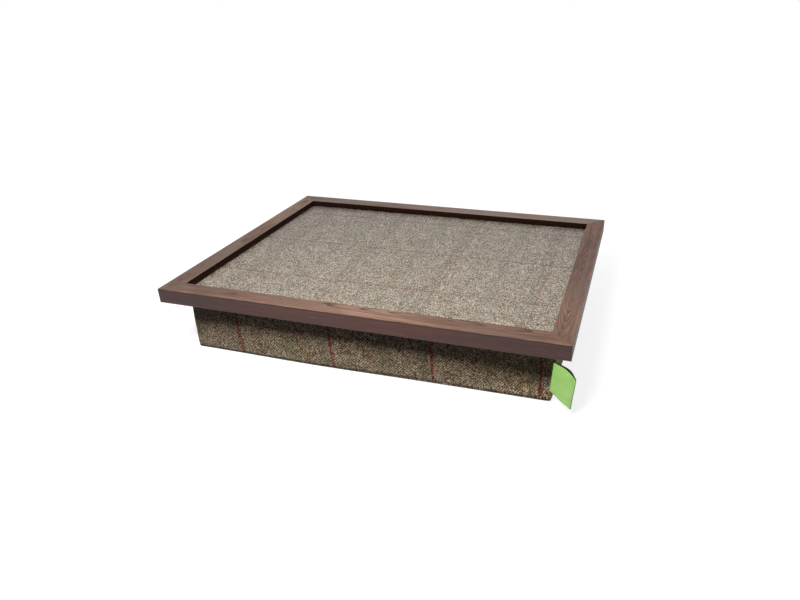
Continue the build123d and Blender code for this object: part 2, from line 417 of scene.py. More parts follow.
def tweed(name, line_share, band_share, contrast, level):
    """Heathered wool twill with a windowpane check, laid out by the piece's weave map."""
    shader = Shader(name)
    weave = shader.weave()
    across, up, _ = shader.split(weave)
    wander = shader.noise(weave, scale=55.0, detail=1.0) - 0.5
    yarns = across / yarn_pitch + wander * 0.9
    picks = up / yarn_pitch + wander * -0.8
    warp, pick = shader.calc("FLOOR", yarns), shader.calc("FLOOR", picks)
    in_warp, in_pick = shader.calc("FRACT", yarns), shader.calc("FRACT", picks)
    step = warp - pick
    phase = step % twill_repeat
    weft_over = phase < twill_repeat / 2 - 0.5
    crossing = shader.calc("FLOOR", step / twill_repeat)

    # Each float is a rounded length of yarn over two cells
    side = shader.choose(weft_over, in_warp, in_pick)
    weft_along = (phase + in_warp) * 0.5
    warp_along = (3 - phase + in_pick) * 0.5
    along = shader.choose(weft_over, warp_along, weft_along)
    side_dome = (1 - side) * side * 4
    along_dome = (1 - along) * along * 4
    height = side_dome**0.5 * along_dome**0.4

    # Colour of each float: its own draw, its yarn's, the cloth's patches and single fibres
    yarn = shader.choose(weft_over, warp, pick)
    own = shader.random(yarn, crossing, weft_over)
    whole = shader.random(yarn, weft_over, 7.0)
    patch = shader.noise(weave, scale=70.0)
    fibre = shader.noise(weave, scale=1900.0, detail=1.0)
    nub = shader.random(warp, pick, 3.0)
    tone = own * 0.58 + nub * 0.40 + whole * 0.08 + patch * 0.16 + fibre * 0.16
    tone = (tone - weft_over * 0.24 - 0.56) * contrast + 0.5
    colour = shader.ramp(
        tone,
        (0.05, srgb(44, 30, 25)),
        (0.25, srgb(88, 68, 54)),
        (0.45, srgb(136, 112, 85)),
        (0.62, srgb(180, 157, 123)),
        (0.80, srgb(214, 194, 162)),
        (0.97, srgb(248, 235, 212)),
    )
    olive = shader.rise(shader.noise(weave, scale=26.0), 0.44, 0.66) * 0.30
    colour = shader.mix(olive, colour, srgb(142, 134, 70), "SOFT_LIGHT")
    plum = shader.rise(shader.noise(weave, scale=38.0), 0.5, 0.72) * 0.30
    colour = shader.mix(plum, colour, srgb(128, 104, 108), "SOFT_LIGHT")

    # Check: a muted band beside each line and one halfway, and lines of red warp and dark weft.
    # Each has its yarns, its shares where the warp and where the weft is on top, and its colour.
    in_check = warp % check_warps
    band = shader.between(in_check, band_start - 0.5, band_end + 0.5) * band_share
    middle = shader.between(in_check, middle_band_start - 0.5, middle_band_end + 0.5)
    line = (in_check < line_yarns - 0.5) * line_share
    dark = pick % check_picks < line_yarns - 0.5
    for chosen, on_warp, on_weft, shade in (
        (band, 0.34, 0.12, srgb(84, 98, 76)),
        (middle * band_share, 0.28, 0.12, srgb(106, 120, 70)),
        (line, 0.90, 0.12, srgb(146, 28, 48)),
        (dark, 0.32, 0.95, srgb(104, 44, 50)),
    ):
        colour = shader.mix(chosen * shader.choose(weft_over, on_warp, on_weft), colour, shade)

    # Painted shade: the colour darkens toward each float's edges, in the grooves between the yarns,
    # and along the seams; the level is a painted brightness for each copy of this cloth
    seam = shader.node("Attribute", output="Fac", attribute_name=seam_map)
    depth = (height * 0.62 + 0.52) * level * (1 - seam * seam_shade_share)
    colour = shader.mix(1.0, colour, shader.vector(depth, depth, depth), "MULTIPLY")
    return shader.principled(
        Base_Color=colour,
        Roughness=0.92,
        Specular_IOR_Level=0.15,
        Sheen_Weight=0.12,
        Sheen_Roughness=0.5,
        Normal=shader.bump(height, yarn_pitch * 0.45, 0.7),
    )


def moulding(side, figures, pale_and_lit, grey_and_sheen_share):
    """Stained and lacquered wood for one rail, whose grain runs along it.

    A figure is (place along the rail, place across it, half length, half width, rings) of
    the nested loops that a saw cut leaves where it slices through curved growth rings.
    The pale and lit stretch is (place along the rail, half length, strength): paler wood with a
    painted pool of light. A rail whose grey and sheen share is 1 is greyer nearly all over, with
    a painted sheen, and one whose share is 0 only in patches.
    """
    shader = Shader(f"{side}_rail_wood")
    x, y, z = shader.split(shader.place())
    normal_x, normal_y, normal_z = shader.split(shader.place("Normal"))
    sign = 1 if side in ("back", "right") else -1
    if side in ("front", "back"):
        along, out, facing, outer = x, y, normal_y, outer_half_depth
    else:
        along, out, facing, outer = y, x, normal_x, outer_half_length
    across = outer - out * sign
    depth = z - rail_top
    offset = 3 * ("front", "back", "left", "right").index(side)

    def grain(length, width, detail=2.0):
        place = shader.vector(along / length + offset, across / width, depth / width)
        return shader.noise(place, detail=detail)

    streaks = grain(0.060, 0.0009, 4.0)
    lines = grain(0.022, 0.0005)
    bands = grain(0.150, 0.0050)
    pores = grain(0.0070, 0.00033, 1.0)
    patches = grain(0.090, 0.030)
    waver = grain(0.025, 0.0040, 3.0)
    bend = grain(0.060, 0.0120, 1.0)
    rings = 0.0
    for figure_along, figure_across, half_run, half_width, count in figures:
        offsets = (
            (along - figure_along) / half_run,
            (across - figure_across) / half_width,
            depth / (half_width * figure_depth_ratio),
        )
        reach = shader.calc("SQRT", offsets[0] ** 2 + offsets[1] ** 2 + offsets[2] ** 2)
        reach = reach + (bend - 0.5) * 0.45 + (waver - 0.5) * 0.05
        ring = shader.calc("FRACT", reach * count) ** ring_sharpness
        rings = shader.calc("MAXIMUM", ring * (1 - shader.rise(reach, 1.0, 1.35)), rings)

    # Painted light: a pool of light along the rail, laid over paler wood
    pale_and_lit_place, pale_and_lit_reach, pale_and_lit_strength = pale_and_lit
    from_pale_and_lit = (along - pale_and_lit_place) / pale_and_lit_reach
    pale_and_lit_share = shader.calc("EXPONENT", from_pale_and_lit * from_pale_and_lit * -1)
    tone = streaks * 0.86 + lines * 0.55 + bands * 0.45 + waver * 0.20 - rings * 0.70
    tone = tone + pale_and_lit_share * pale_and_lit_strength - 0.605
    colour = shader.ramp(
        tone,
        (0.15, srgb(36, 21, 16)),
        (0.36, srgb(74, 47, 35)),
        (0.54, srgb(108, 76, 59)),
        (0.80, srgb(153, 123, 103)),
    )
    # Greyer in random patches; a higher share spreads them and lightens their grey, as a painted
    # sheen
    greyer = shader.rise(patches, 0.42 - 0.2 * grey_and_sheen_share, 0.66) * (0.5 + 0.3 * grey_and_sheen_share)
    grey = [a + (b - a) * grey_and_sheen_share for a, b in zip(grey_patch, sheen_grey_patch)]
    colour = shader.mix(greyer, colour, srgb(*grey))
    pore_share = shader.rise(pores, 0.60, 0.72) * 0.5
    colour = shader.mix(pore_share, colour, srgb(44, 27, 22))
    colour = shader.mix(shader.rise(lines, 0.52, 0.68) * 0.35, colour, srgb(146, 100, 76))

    # Outer faces are painted darker than the top, as shade, and the inner lip nearly black
    upright = 1 - shader.rise(normal_z, 0.35, 0.9)
    colour = shader.mix(upright, colour, srgb(156, 117, 109), "MULTIPLY")
    lip = shader.rise(facing * -sign, 0.5, 0.8) * upright
    colour = shader.mix(lip, colour, srgb(36, 20, 15))

    # A dark line just below the outer top edge, and the rounded edge itself made lighter: wear with a
    # painted highlight
    near_edge = shader.between(across, -0.01, edge_line_reach)
    off_line = abs(depth + edge_line_depth)
    under_edge_line = (1 - shader.rise(off_line, edge_line_width / 2, edge_line_width)) * upright
    under_edge_line = under_edge_line * near_edge * shader.rise(bands, 0.20, 0.40) * 0.92
    colour = shader.mix(under_edge_line, colour, srgb(38, 15, 11))
    rounded = shader.rise(normal_z, 0.25, 0.6) * (1 - shader.rise(normal_z, 0.85, 0.97))
    wear = rounded * near_edge * shader.rise(waver, 0.44, 0.64) * 0.3
    colour = shader.mix(wear, colour, srgb(176, 140, 112))

    # A hairline where two rails meet at the mitre
    from_mitre = abs((outer_half_length - abs(x)) - (outer_half_depth - abs(y)))
    colour = shader.mix((from_mitre < hairline_width) * 0.6, colour, srgb(40, 26, 22))
    roughness = streaks * 0.16 + pores * 0.12 + 0.38
    return shader.principled(
        Base_Color=colour,
        Roughness=shader.choose(lip, roughness, 1.0),
        Specular_IOR_Level=shader.choose(lip, 0.62, 0.08),
        Normal=shader.bump(streaks * 0.35 - pore_share, 0.00012, 0.6),
    )


def clear_plastic():
    """A clear sheet: looked through, with a mirror's share of light by the angle.

    Its upper face stands for both faces, since light isn't bent on its way through here.
    """
    shader = Shader("clear_plastic")
    roughness = shader.noise(shader.place(), scale=9.0) * 0.06 + sheet_roughness
    mirror = shader.node("BsdfGlossy", {"Color": srgb(252, 248, 238), "Roughness": roughness})
    through = shader.node("BsdfTransparent", {"Color": srgb(251, 252, 254)})
    fresnel = shader.node("Fresnel", {"IOR": sheet_ior})
    inside = shader.node("NewGeometry", output="Backfacing")
    return shader.finish(shader.blend(fresnel * (1 - inside) * two_face_gain, through, mirror))


def hardboard():
    """Pressed fibre board: brown, flecked, with a faint screen texture."""
    shader = Shader("hardboard")
    place = shader.place()
    x, y, _ = shader.split(place)
    fleck = shader.noise(place, scale=900.0, detail=3.0)
    tone = fleck * 0.65 + shader.noise(place, scale=22.0) * 0.35
    colour = shader.ramp(
        tone, (0.3, srgb(96, 64, 44)), (0.5, srgb(140, 102, 72)), (0.7, srgb(168, 130, 96))
    )
    turns = 2 * math.pi / screen_pitch
    screen = shader.calc("SINE", x * turns) * shader.calc("SINE", y * turns)
    relief = shader.bump(fleck + screen * 0.3, 0.0002, 0.5)
    return shader.principled(Base_Color=colour, Roughness=0.85, Normal=relief)


def worn_metal(name, bright, dark, roughness):
    """Plated metal with fine brushing and duller patches."""
    shader = Shader(name)
    place = shader.place()
    x, y, z = shader.split(place)
    wear = shader.noise(place, scale=420.0, detail=3.0)
    brush = shader.noise(shader.vector(x * 300, y * 6000, z * 6000))
    return shader.principled(
        Base_Color=shader.ramp(wear, (0.35, dark), (0.62, bright)),
        Metallic=1.0,
        Roughness=wear * 0.2 + brush * 0.15 + (roughness - 0.15),
        Normal=shader.bump(brush, 0.00002, 0.4),
    )


def moulded_plastic(name, colour, light):
    """Moulded plastic with a slight mottle."""
    shader = Shader(name)
    mottle = shader.noise(shader.place(), scale=700.0)
    return shader.principled(
        Base_Color=shader.ramp(mottle, (0.3, colour), (0.7, light)),
        Roughness=mottle * 0.15 + 0.32,
        Normal=shader.bump(mottle, 0.00003, 0.4),
    )


def woven_tape(name, colour, light, rib):
    """Narrow woven tape: ribs in a herringbone, laid out by the weave map."""
    shader = Shader(name)
    across, up, _ = shader.split(shader.weave())
    lines = shader.calc("FRACT", (across + shader.calc("PINGPONG", up, rib * 4)) / rib)
    dome = (1 - lines) * lines * 4
    tone = dome * 0.5 + shader.noise(shader.vector(across / rib, up / rib)) * 0.5
    base = shader.ramp(tone, (0.2, colour), (0.8, light))
    relief = shader.bump(dome, rib * 0.3, 0.7)
    return shader.principled(Base_Color=base, Roughness=0.8, Normal=relief)


def ribbon(name, colour, light, through_share):
    """Satin ribbon: fine cross ribs, a soft sheen, and some light that shines through."""
    shader = Shader(name)
    weave = shader.weave()
    across, up, _ = shader.split(weave)
    ribs = shader.calc("SINE", across * (2 * math.pi / ribbon_rib))
    threads = shader.noise(shader.vector(across * 120, up * 1600))
    tone = threads * 0.45 + shader.noise(weave, scale=60.0) * 0.55
    return shader.principled(
        Base_Color=shader.ramp(tone, (0.3, colour), (0.7, light)),
        Roughness=0.55,
        Specular_IOR_Level=0.3,
        Subsurface_Weight=through_share,
        Subsurface_Radius=(0.0014, 0.0014, 0.0008),
        Subsurface_Scale=1.0,
        Sheen_Weight=0.1,
        Normal=shader.bump(ribs * 0.5 + threads, 0.00006, 0.5),
    )


def felt(name, colour, light, size):
    """Matted fibre, for strips, lining and thread."""
    shader = Shader(name)
    fuzz = shader.noise(shader.place(), scale=1 / size, detail=4.0, roughness=0.7)
    return shader.principled(
        Base_Color=shader.ramp(fuzz, (0.3, colour), (0.7, light)),
        Roughness=0.95,
        Specular_IOR_Level=0.1,
        Normal=shader.bump(fuzz, size * 0.6, 0.8),
    )


def beads():
    """Expanded beads packed together."""
    shader = Shader("expanded_beads")
    cells = {"Vector": shader.place(), "Scale": 260.0}
    dome = 1 - shader.node("TexVoronoi", cells, output="Distance")
    base = shader.ramp(dome, (0.3, srgb(178, 178, 176)), (0.8, srgb(240, 240, 238)))
    return shader.principled(Base_Color=base, Roughness=0.6, Normal=shader.bump(dome, 0.001, 1.0))


def dress(material, *nodes):
    """Gives CAD nodes their material."""
    for node in nodes:
        cad[node].data.materials.clear()
        cad[node].data.materials.append(material)


def placed(name, data):
    """A new object in the scene, for its data."""
    made = bpy.data.objects.new(name, data)
    bpy.context.scene.collection.objects.link(made)
    return made


def new_mesh(name, points, faces):
    """A mesh object from points and faces, linked to the scene."""
    mesh = bpy.data.meshes.new(name)
    mesh.from_pydata([tuple(p) for p in points], [], [tuple(int(i) for i in f) for f in faces])
    mesh.update()
    return placed(name, mesh)


def smooth(piece, *materials, crease=None):
    """Gives a piece its materials and smooth shading, up to a crease angle if there is one."""
    for material in materials:
        piece.data.materials.append(material)
    piece.data.shade_smooth()
    if crease is not None:
        piece.data.set_sharp_from_angle(angle=math.radians(crease))


def place_camera():
    """The photograph's viewpoint."""
    data = bpy.data.cameras.new("camera")
    data.sensor_width = camera_sensor
    data.lens = camera_lens
    data.shift_x, data.shift_y = camera_shift
    camera = placed("camera", data)
    camera.location = camera_place
    camera.rotation_euler = Euler([math.radians(angle) for angle in camera_turn])
    bpy.context.scene.camera = camera


def soft_lamp(name, place, target, size, power):
    """A rectangular soft box that faces a point. Mirrors show the backdrop in its stead."""
    data = bpy.data.lights.new(name, "AREA")
    data.shape = "RECTANGLE"
    data.size, data.size_y = size
    data.energy = power
    lamp = placed(name, data)
    lamp.location = place
    lamp.rotation_euler = (Vector(target) - Vector(place)).to_track_quat("-Z", "Y").to_euler()
    lamp.visible_glossy = False
    lamp.visible_camera = False


def light_the_stage():
    """A low sky, with a backdrop that is white to the camera and soft in mirrors, and the lamps."""
    scene = bpy.context.scene
    scene.view_settings.view_transform = "Standard"
    shader = Shader("studio", "worlds")
    scene.world = shader.owner
    height = shader.split(shader.place("Generated"))[2]
    level = shader.rise(height, *backdrop_rise, *backdrop_levels)
    level = shader.choose(shader.node("LightPath", output="Is Glossy Ray"), 1.0, level)
    seen = shader.node("Background", {"Color": white, "Strength": level})
    sky = shader.node("Background", {"Color": sky_colour, "Strength": sky_level})
    shader.finish(shader.blend(shader.seen_directly(), sky, seen), "OutputWorld")
    for name, looks in lamps.items():
        soft_lamp(f"{name}_lamp", *looks)
    for name, angle in side_angles.items():
        place = Matrix.Rotation(math.radians(angle), 3, "Z") @ Vector(side_place)
        soft_lamp(f"{name}_lamp", place, side_target, side_size, side_power)


def lay_the_floor():
    """A pale floor that keeps the object's shadow."""
    half = floor_size / 2
    corners = [(-half, -half), (half, -half), (half, half), (-half, half)]
    floor = new_mesh("floor", [(x, y, -floor_drop) for x, y in corners], [(0, 1, 2, 3)])
    shader = Shader("pale_floor")
    x, y, _ = shader.split(shader.place())
    open_share = shader.rise(shader.calc("SQRT", x * x + y * y), *floor_lit_reach)
    shadow = shader.node("BsdfDiffuse", {"Color": (floor_albedo,) * 3 + (1.0,)})
    glow = shader.node("Emission", {"Color": white, "Strength": floor_glow})
    bright = shader.node("Emission", {"Color": white, "Strength": 1.0})
    dark = shader.node("BsdfDiffuse", {"Color": (floor_bounce_albedo,) * 3 + (1.0,)})
    shown = shader.blend(open_share, shader.node("AddShader", {0: shadow, 1: glow}), bright)
    surface = shader.blend(shader.seen_directly(), dark, shown)
    floor.data.materials.append(shader.finish(surface))


def arch(share):
    """1 in the middle of a side and 0 at both its ends."""
    return 1 - share**2


def bell(distance, width):
    """1 at no distance, and falling smoothly away to nothing past about twice the width."""
    return np.exp(-((distance / width) ** 2))


def pairs(along, up):
    """Two grids that hold every pair of the values: the first one's and the second one's."""
    return np.meshgrid(along, up, indexing="ij")


def saturate(distance, width, power):
    """Rises steeply from 0 at the edge, and levels off at 1 by the given width."""
    return 1 - (1 - np.minimum(distance / width, 1.0)) ** power


def past(x, start, power):
    """Rises from 0 at a place on the front to 1 at the right end of its seam."""
    return np.clip((x - start) / (half_length - start), 0, 1) ** power


# Each panel of the cover: its outward side, whether its grid is turned over, and the sides
# that it meets at its low and high ends, first along its grid and then up it
outward = {
    "front": (0, -1, 0),
    "back": (0, 1, 0),
    "left": (-1, 0, 0),
    "right": (1, 0, 0),
    "top": (0, 0, 1),
    "base": (0, 0, -1),
}
turned_over = {"back", "left", "base"}
neighbours = {
    "front": ("left", "right", "base", "top"),
    "back": ("left", "right", "base", "top"),
    "left": ("front", "back", "base", "top"),
    "right": ("front", "back", "base", "top"),
    "top": ("left", "right", "front", "back"),
    "base": ("left", "right", "front", "back"),
}
spans = {
    "front": (half_length, wall_half),
    "back": (half_length, wall_half),
    "left": (half_depth, wall_half),
    "right": (half_depth, wall_half),
    "top": (half_length, half_depth),
    "base": (half_length, half_depth),
}


def cushion_form(side, along, up):
    """The cushion's surface before it swells, on one side, at shares from -1 to 1."""
    u, v = pairs(along, up)
    if side in ("top", "base"):
        x = u * (half_length + seam_bow * arch(v))
        y = v * half_depth + np.minimum(v, 0) * seam_bow * arch(u)
        from_x = half_length * (1 - np.abs(u))
        from_y = half_depth * (1 - np.abs(v))
        if side == "top":
            seam, flat, width, power = wall_high, crown_high, crown_width, crown_power
        else:
            seam, flat, width, power = wall_low, 0, foot_width, foot_power
        z = seam + (flat - seam) * saturate(from_x, width, power) * saturate(from_y, width, power)
        return settled(np.stack([x, y, z], -1))
    z = wall_middle + v * wall_half
    bulge = wall_bulge * arch(v)
    bow = (seam_bow + (wall_bow - seam_bow) * arch(v)) * arch(u)
    if side == "back":
        inside_ends = np.minimum(back_bulge_steepness * (1 - np.abs(u)), 1)
        bow = (back_bulge - wall_bulge) * arch(v) * inside_ends
    sign = -1 if side in ("front", "left") else 1
    if side in ("front", "back"):
        x = u * (half_length + bulge)
        y = sign * (half_depth + bulge + bow)
    else:
        x = sign * (half_length + bulge + bow)
        y = u * (half_depth + bulge)
    return settled(np.stack([x, y, z], -1))


def settled(points):
    """The cushion's form as use has left it.

    It spreads at the left and in the left half of its front, where its low seams drop too, and
    draws in at the front's right end.
    """
    x, y, z = np.moveaxis(points, -1, 0)
    left = np.clip(-x / half_length, 0, 1) ** 2
    front = np.clip(-y / half_depth, 0, 1) ** 2
    fuller = bell(x - front_spread_middle, front_spread_reach)
    low = z / seam_drop_level * np.exp(1 - z / seam_drop_level)
    left_half = 1 / (1 + np.exp(x / (front_spread_reach / 4)))
    drop = seam_drop * np.maximum(front * left_half, left) + corner_drop * front * left**4
    moved = points.copy()
    height = np.clip((z - wall_low) / (wall_high - wall_low), 0, 1)
    moved[..., 0] -= left_spread * left * (1 + low_spread_share * (1 - height))
    recess = past(x, right_recess_start, right_recess_power)
    recess *= recess_peak_gain * height**recess_low_power * (1 - height)
    moved[..., 1] -= front * (front_spread * fuller - right_recess * recess)
    moved[..., 2] -= drop * np.clip(low, 0, 1)
    return moved


def even_shares(half, step):
    """Evenly spaced shares from -1 to 1, about a step apart on a side of that half length."""
    return np.linspace(-1, 1, max(2, round(2 * half / step)) + 1)


def seamed_shares(half, *breaks):
    """Shares from -1 to 1 of a half length, close together beside the seams and the breaks."""
    edges = [-half, *breaks, half]
    found = [-half]
    for low, high in zip(edges[:-1], edges[1:]):
        near = [offset for offset in seam_offsets if offset < (high - low) / 2]
        first, last = low + near[-1], high - near[-1]
        count = max(1, round((last - first) / cover_step))
        found += [low + offset for offset in near[:-1]]
        found += list(np.linspace(first, last, count + 1))
        found += [high - offset for offset in reversed(near[:-1])]
        found.append(high)
    return np.array(found) / half


def grid_faces(columns, rows, start=0, turned=False, kept=None):
    """The four-cornered faces of a grid of points, numbered from start, or those kept."""
    number = start + np.arange(columns * rows).reshape(columns, rows)
    corners = [number[:-1, :-1], number[1:, :-1], number[1:, 1:], number[:-1, 1:]]
    if turned:
        corners.reverse()
    faces = np.stack([c.ravel() for c in corners], 1)
    return faces if kept is None else faces[kept.ravel()]


def welded(grids):
    """One closed mesh from the panels' grids: its points, its faces and each grid's numbers."""
    faces, starts = [], [0]
    for side, grid in grids.items():
        columns, rows = grid.shape[:2]
        faces.append(grid_faces(columns, rows, starts[-1], side in turned_over))
        starts.append(starts[-1] + columns * rows)
    points = np.concatenate([grid.reshape(-1, 3) for grid in grids.values()])
    unique, numbers = np.unique(np.round(points, 6), axis=0, return_inverse=True)
    numbers = numbers.ravel()
    shares = np.split(numbers, starts[1:-1])
    found = {side: part.reshape(grids[side].shape[:2]) for side, part in zip(grids, shares)}
    return unique, numbers[np.concatenate(faces)], found


def waves(place, lengths, phases):
    """A fixed irregular ripple along a line, from about -1 to 1."""
    parts = [np.sin(2 * math.pi * place / l + p) for l, p in zip(lengths, phases)]
    return sum(parts) / len(parts)


def swell(grids):
    """How far each point of the closed cushion moves as it fills, by cloth simulation."""
    points, faces, numbers = welded(grids)
    held = np.zeros(len(points))
    for side, grid in numbers.items():
        edges = (grid[0], grid[-1], grid[:, 0], grid[:, -1])
        for still in (grid.ravel(),) if side in ("base", "back") else edges:
            held[still] = 1.0
    under_strips = (np.abs(points[:, 0]) < strip_zone[0]) & (np.abs(points[:, 1]) < strip_zone[1])
    held[under_strips & (points[:, 2] > wall_middle)] = 1.0
    start = points + cloth_ruffle * draws.normal(0, 1, points.shape) * (1 - held)[:, None]
    cloth = new_mesh("cloth", start, faces)
    group = cloth.vertex_groups.new(name="held")
    group.add([int(i) for i in np.flatnonzero(held)], 1.0, "REPLACE")
    modifier = cloth.modifiers.new("cloth", "CLOTH")
    settings = modifier.settings
    for setting, value in cloth_settings.items():
        setattr(settings, setting, value)
    settings.vertex_group_mass = group.name
    settings.effector_weights.gravity = 0
    modifier.point_cache.frame_end = cloth_frames
    for number in range(1, cloth_frames + 1):
        bpy.context.scene.frame_set(number)
    shown = cloth.evaluated_get(bpy.context.evaluated_depsgraph_get())
    found = np.zeros(len(points) * 3)
    shown.data.vertices.foreach_get("co", found)
    bpy.context.scene.frame_set(1)
    bpy.data.objects.remove(cloth)
    move = found.reshape(-1, 3) - points
    size = np.linalg.norm(move, axis=1)
    capped = move * (cloth_cap * np.tanh(size / cloth_cap) / np.maximum(size, 1e-9))[:, None]
    return {side: capped[numbers[side]] for side in grids}


def cubic_weights(coarse, fine):
    """The matrix that reads a smooth curve through even samples at other places."""
    step = coarse[1] - coarse[0]
    place = np.clip((fine - coarse[0]) / step, 0, len(coarse) - 1)
    cell = np.minimum(np.floor(place).astype(int), len(coarse) - 2)
    t = place - cell
    weights = np.zeros((len(fine), len(coarse)))
    parts = {
        -1: (-t + 2 * t**2 - t**3) / 2,
        0: (2 - 5 * t**2 + 3 * t**3) / 2,
        1: (t + 4 * t**2 - 3 * t**3) / 2,
        2: (-(t**2) + t**3) / 2,
    }
    rows = np.arange(len(fine))
    for shift, part in parts.items():
        np.add.at(weights, (rows, np.clip(cell + shift, 0, len(coarse) - 1)), part)
    return weights


def closed_shell(name, outer, inner, weave, turned, *materials, kept=None, seams=None):
    """A sheet with thickness: two grids joined round their rims, with real-size weave places.

    A second material, if given, goes on the inner face and the rim. The shade at the seams,
    if given, is kept with the points.
    """
    columns, rows = outer.shape[:2]
    count = columns * rows
    front = grid_faces(columns, rows, 0, turned, kept)
    steps = np.concatenate([front[:, [k, (k + 1) % 4]] for k in range(4)])
    known = {(int(a), int(b)) for a, b in steps}
    rim = np.array([step for step in sorted(known) if step[::-1] not in known])
    walls = np.stack([rim[:, 1], rim[:, 0], rim[:, 0] + count, rim[:, 1] + count], 1)
    faces = np.concatenate([front, front[:, ::-1] + count, walls])
    points = np.concatenate([outer.reshape(-1, 3), inner.reshape(-1, 3)])
    places = np.concatenate([weave.reshape(-1, 2)] * 2)
    used, faces = np.unique(faces, return_inverse=True)
    faces = faces.reshape(-1, 4)
    made = new_mesh(name, points[used], faces)
    layer = made.data.uv_layers.new(name=weave_map)
    layer.data.foreach_set("uv", places[used][faces.ravel()].ravel())
    if seams is not None:
        shade = made.data.attributes.new(seam_map, "FLOAT", "POINT")
        shade.data.foreach_set("value", np.concatenate([seams.ravel()] * 2)[used])
    smooth(made, *materials, crease=sheet_crease_angle)
    index = np.full(len(faces), len(materials) - 1, np.int32)
    index[: len(front)] = 0
    made.data.polygons.foreach_set("material_index", index)
    return made


def dress_piece(piece, body, node):
    """Hides the CAD node that a piece stands in for, and sets what it rides on."""
    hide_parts(node)
    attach(piece, body)


def dress_sheet(piece, body, node):
    """The same for a sheet."""
    dress_piece(piece, body, node)


def weave_places(side, grid):
    """Where the check and the weave lie on each side of the cover."""
    x, y, z = np.moveaxis(grid, -1, 0)
    pitch = check_warps * yarn_pitch
    if side in ("front", "back"):
        lean = wall_grain_lean * (z - wall_middle)
        lean = lean + right_gather * past(x, right_gather_start, right_gather_power)
        across = (x + lean - wall_check_place) * pitch / wall_check_pitch
        return np.stack([across, z], -1)
    if side in ("left", "right"):
        return np.stack([y * pitch / wall_check_pitch, z], -1)
    across = (x - top_check_place) * pitch / top_check_pitch
    return np.stack([across, y - top_line_place], -1)


def seam_directions(side, gaps):
    """A panel's outward direction, which leans over each neighbour as it nears their seam."""
    lean = np.zeros(gaps[0].shape + (3,)) + np.array(outward[side], float)
    for gap, neighbour in zip(gaps, neighbours[side]):
        lean += bell(gap, seam_lean)[..., None] * np.array(outward[neighbour], float)
    return lean


def cover_surface(side, along, up, moves, coarse):
    """A panel's outer face, sunk at its seams and puckered beside them, and its seams' shade."""
    place = cushion_form(side, along, up)
    weights_u = cubic_weights(coarse[side][0], along)
    weights_v = cubic_weights(coarse[side][1], up)
    place += np.einsum("ai,ijk,bj->abk", weights_u, moves[side], weights_v)
    u, v = pairs(along, up)
    half_u, half_v = spans[side]
    gaps = [half_u * (1 + u), half_u * (1 - u), half_v * (1 + v), half_v * (1 - v)]
    lean = seam_directions(side, gaps)
    sunk, shade, ripple = np.zeros((3,) + u.shape)
    runs = [v * half_v, v * half_v, u * half_u, u * half_u]
    for gap, run, neighbour in zip(gaps, runs, neighbours[side]):
        soft = "top" not in (side, neighbour) and soft_seam_sides & {side, neighbour}
        depth = soft_seam_depth if soft else seam_depth
        dark = soft_seam_shade_share if soft else 1.0
        sunk = np.maximum(sunk, depth * bell(gap, seam_width))
        shade = np.maximum(shade, dark * bell(gap, seam_shade_width))
        # The two panels of a seam reckon the same phases from their names
        pair = "".join(sorted((side, neighbour)))
        phases = [len(pair) * 1.7 + ord(pair[0]) + k * ord(pair[-1]) for k in range(3)]
        fade = np.exp(-gap / pucker_reach) * (1 - bell(gap, seam_offsets[-1]))
        ripple += fade * waves(run, pucker_lengths, phases)
    still = 0.0 if side == "base" else 1.0
    shift = pucker_height * ripple * still - sunk
    if side == "back":
        edge = slot_distance(u * half_u, v * half_v + wall_middle)
        shift = shift - fold_depth * bell(edge, fold_width)
        shift = shift - stitch_depth * bell(edge - stitch_inset, stitch_width)
        shade = np.maximum(shade, bell(edge, fold_shade_width))
    place += lean * shift[..., None]
    place[..., 2] = np.maximum(place[..., 2], 0)
    return place, lean, shade


def slot_distance(x, z):
    """How far a point of the back wall lies from the nearest edge of its two panels."""
    past_end = np.maximum(np.abs(x) - slot_half_length, 0)
    past_side = np.maximum(np.abs(z - zip_height) - slot_half_height, 0)
    from_slot = np.hypot(past_end, past_side)
    inside_slot = np.maximum(slot_half_length - np.abs(x), 0)
    from_meeting = np.abs(z - zip_height) + slot_end_steepness * inside_slot
    return np.minimum(from_slot, from_meeting)


def cover_panel(name, side, along, up, relaxed, material, node, kept=None):
    """One panel of the cover, with its cloth's thickness, in place of its CAD solid."""
    outer, lean, seams = cover_surface(side, along, up, *relaxed)
    inner = outer - lean * cover_thickness
    if side == "base":
        inner[..., 2] = np.maximum(inner[..., 2], cover_thickness)
    weave = weave_places(side, outer)
    turned = side in turned_over
    piece = closed_shell(name, outer, inner, weave, turned, material, kept=kept, seams=seams)
    width, height = [2 * half for half in spans[side]]
    if side == "back":
        height = height / 2 + (zip_height - wall_middle) * (-1 if kept[0, -1] else 1)
    dress_sheet(piece, "cushion", node)


